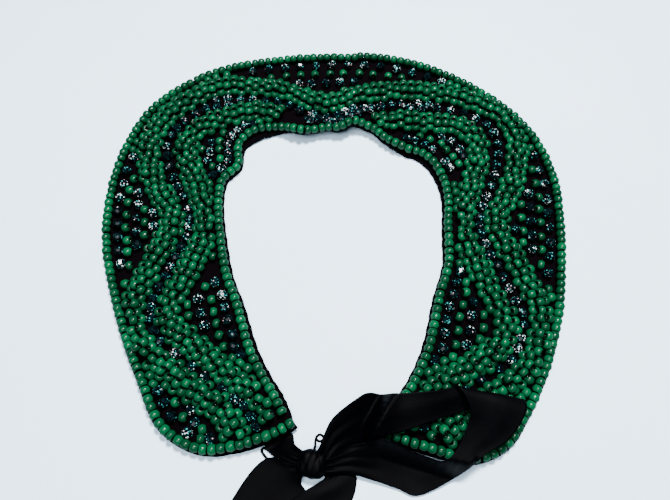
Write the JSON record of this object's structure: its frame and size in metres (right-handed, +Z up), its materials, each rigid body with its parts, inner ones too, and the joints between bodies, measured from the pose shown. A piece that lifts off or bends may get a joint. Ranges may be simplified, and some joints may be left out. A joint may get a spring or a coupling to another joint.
{
  "type": "bib necklace",
  "caption": "Flat beaded collar necklace on black felt with green glass bead waves, dark crystal fields and a knotted black satin ribbon, lying open on a surface.",
  "frame": {"origin": "bottom centre of the bounding box, on the surface that the necklace lies on", "axes": "+Z up from the surface, +Y towards the nape of the collar, the open ends and the ribbon towards -Y"},
  "size_m": [0.199, 0.2168, 0.017],
  "materials": {
    "felt": "black wool felt, matt",
    "beads": "opaque green glass seed beads, glossy",
    "crystals": "faceted dark teal glass rondelles with a bright coating",
    "ribbon": "black satin ribbon, soft sheen"
  },
  "bodies": {
    "root": {"backing": "felt", "rim_string": "beads", "neck_string": "beads", "outer_wave": "beads", "left_inner_wave": "beads", "right_inner_wave": "beads", "crystal_line": "crystals", "left_end_rim_field": "crystals", "left_rim_field": "crystals", "nape_rim_field": "crystals", "right_rim_field": "crystals", "right_end_rim_field": "crystals", "left_front_neck_field": "crystals", "left_back_neck_field": "crystals", "right_back_neck_field": "crystals", "right_front_neck_field": "crystals", "left_tie": "ribbon", "right_tie": "ribbon", "knot": "ribbon", "ribbon_loop": "ribbon", "left_tail": "ribbon", "right_tail": "ribbon"}
  },
  "joints": []
}
